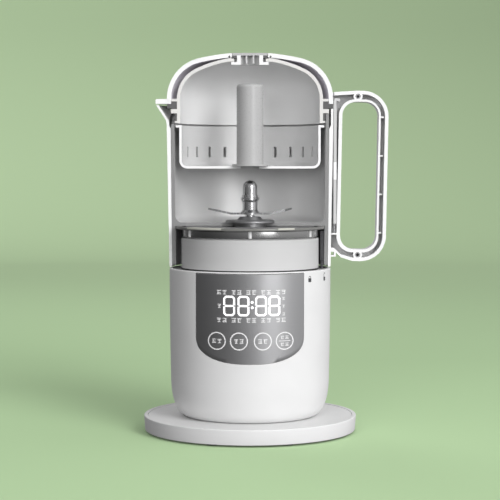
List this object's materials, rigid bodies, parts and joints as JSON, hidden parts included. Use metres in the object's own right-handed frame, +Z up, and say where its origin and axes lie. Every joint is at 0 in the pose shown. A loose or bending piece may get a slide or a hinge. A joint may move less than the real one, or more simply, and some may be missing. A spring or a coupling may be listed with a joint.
{
  "type": "baby food maker",
  "caption": "Jug-type steamer and blender on a round motor base with a touch panel and stand plate, shown cut open on the jug's middle plane.",
  "frame": {"origin": "on the body's vertical axis, in the plane of the table under the stand plate's feet", "axes": "+Z up, +X towards the handle, the control panel faces -Y"},
  "size_m": [0.2097, 0.1824, 0.3238],
  "materials": {
    "tray_shell": "satin white",
    "tray_top_disc": "satin white",
    "tray_bottom_cover": "matt",
    "tray_feet": "matt",
    "base_screws": "zinc plated",
    "base_housing": "satin white",
    "base_bowl": "satin white",
    "base_bottom_cover": "matt",
    "base_deck": "satin light grey",
    "deck_dish": "satin light grey",
    "control_panel": "satin metallic grey",
    "display_module": "dark",
    "control_board": "solder mask green",
    "touch_springs": "plated",
    "motor_can": "zinc plated",
    "stator": "copper windings",
    "motor_bearings": "polished",
    "motor_bracket": "grey",
    "motor_dampers": "matt",
    "power_board": "solder mask green",
    "power_inlet": "black",
    "inlet_pins": "nickel plated",
    "jug_socket": "dark grey",
    "interlock_switch": "black",
    "motor_shaft": "ground",
    "rotor_core": "laminated steel",
    "cooling_fan": "ivory",
    "drive_coupler": "hard rubber",
    "lock_ring": "polished steel",
    "jug_shell": "satin white",
    "inner_pot": "light grey",
    "pot_base_ring": "olive grey",
    "heater_plate": "cast",
    "heating_element": "sheathed",
    "thermostats": "phenolic",
    "jug_bottom_cover": "dark grey",
    "jug_plug": "contacts",
    "jug_screws": "zinc plated",
    "bearing_housing": "turned",
    "blade_bearings": "polished",
    "shaft_seal": "matt",
    "handle_shell": "satin white",
    "handle_inserts": "turned",
    "rod_spring": "spring steel",
    "interlock_rod": "satin",
    "interlock_foot": "dark grey",
    "blade_shaft": "ground",
    "lower_blade": "polished",
    "upper_blade": "polished",
    "blade_spacer": "turned",
    "blade_nut": "polished",
    "driven_coupler": "hard rubber",
    "lid_outer": "satin white",
    "lid_inner": "light grey",
    "lid_gasket": "silicone",
    "rim_seal": "silicone",
    "vent_cap": "satin white",
    "cap_seal": "silicone",
    "steam_basket": "white",
    "basket_stem": "light grey"
  },
  "bodies": {
    "base": {"tray_shell": "tray_shell", "tray_top_disc": "tray_top_disc", "tray_bottom_cover": "tray_bottom_cover", "tray_feet": "tray_feet", "base_screws": "base_screws", "base_housing": "base_housing", "base_bowl": "base_bowl", "base_bottom_cover": "base_bottom_cover", "base_deck": "base_deck", "deck_dish": "deck_dish", "control_panel": "control_panel", "display_module": "display_module", "control_board": "control_board", "touch_springs": "touch_springs", "motor_can": "motor_can", "stator": "stator", "motor_bearings": "motor_bearings", "motor_bracket": "motor_bracket", "motor_dampers": "motor_dampers", "power_board": "power_board", "power_inlet": "power_inlet", "inlet_pins": "inlet_pins", "jug_socket": "jug_socket", "interlock_switch": "interlock_switch"},
    "rotor": {"motor_shaft": "motor_shaft", "rotor_core": "rotor_core", "cooling_fan": "cooling_fan", "drive_coupler": "drive_coupler"},
    "lock_ring": {"lock_ring": "lock_ring"},
    "jug": {"jug_shell": "jug_shell", "inner_pot": "inner_pot", "pot_base_ring": "pot_base_ring", "heater_plate": "heater_plate", "heating_element": "heating_element", "thermostats": "thermostats", "jug_bottom_cover": "jug_bottom_cover", "jug_plug": "jug_plug", "jug_screws": "jug_screws", "bearing_housing": "bearing_housing", "blade_bearings": "blade_bearings", "shaft_seal": "shaft_seal", "handle_shell": "handle_shell", "handle_inserts": "handle_inserts", "rod_spring": "rod_spring"},
    "interlock": {"interlock_rod": "interlock_rod", "interlock_foot": "interlock_foot"},
    "blades": {"blade_shaft": "blade_shaft", "lower_blade": "lower_blade", "upper_blade": "upper_blade", "blade_spacer": "blade_spacer", "blade_nut": "blade_nut", "driven_coupler": "driven_coupler"},
    "lid": {"lid_outer": "lid_outer", "lid_inner": "lid_inner", "lid_gasket": "lid_gasket", "rim_seal": "rim_seal"},
    "cap": {"vent_cap": "vent_cap", "cap_seal": "cap_seal"},
    "basket": {"steam_basket": "steam_basket", "basket_stem": "basket_stem"}
  },
  "joints": [
    {"name": "motor_spin", "type": "hinge", "parent": "base", "child": "rotor", "pos_m": [0, 0, 0.07], "axis": [0, 0, 1], "continuous": true},
    {"name": "jug_turn", "type": "hinge", "parent": "base", "child": "lock_ring", "pos_m": [0, 0, 0.168], "axis": [0, 0, 1], "range_deg": [0, 20]},
    {"name": "jug_lift", "type": "slide", "parent": "lock_ring", "child": "jug", "axis": [0, 0, 1], "range_m": [0, 0.1]},
    {"name": "blade_spin", "type": "hinge", "parent": "jug", "child": "blades", "pos_m": [0, 0, 0.19], "axis": [0, 0, 1], "continuous": true},
    {"name": "lid_lift", "type": "slide", "parent": "jug", "child": "lid", "axis": [0, 0, 1], "range_m": [0, 0.16]},
    {"name": "cap_turn", "type": "hinge", "parent": "lid", "child": "cap", "pos_m": [0, 0, 0.32], "axis": [0, 0, 1], "range_deg": [0, 60]},
    {"name": "basket_lift", "type": "slide", "parent": "jug", "child": "basket", "axis": [0, 0, 1], "range_m": [0, 0.1]},
    {"name": "interlock_slide", "type": "slide", "parent": "jug", "child": "interlock", "axis": [0, 0, 1], "range_m": [0, 0.002]}
  ],
  "couplings": [
    {"joint": "blade_spin", "follows": "motor_spin", "ratio": 1},
    {"joint": "basket_lift", "follows": "lid_lift", "ratio": 0.6},
    {"joint": "interlock_slide", "follows": "lid_lift", "ratio": 0.0125}
  ]
}
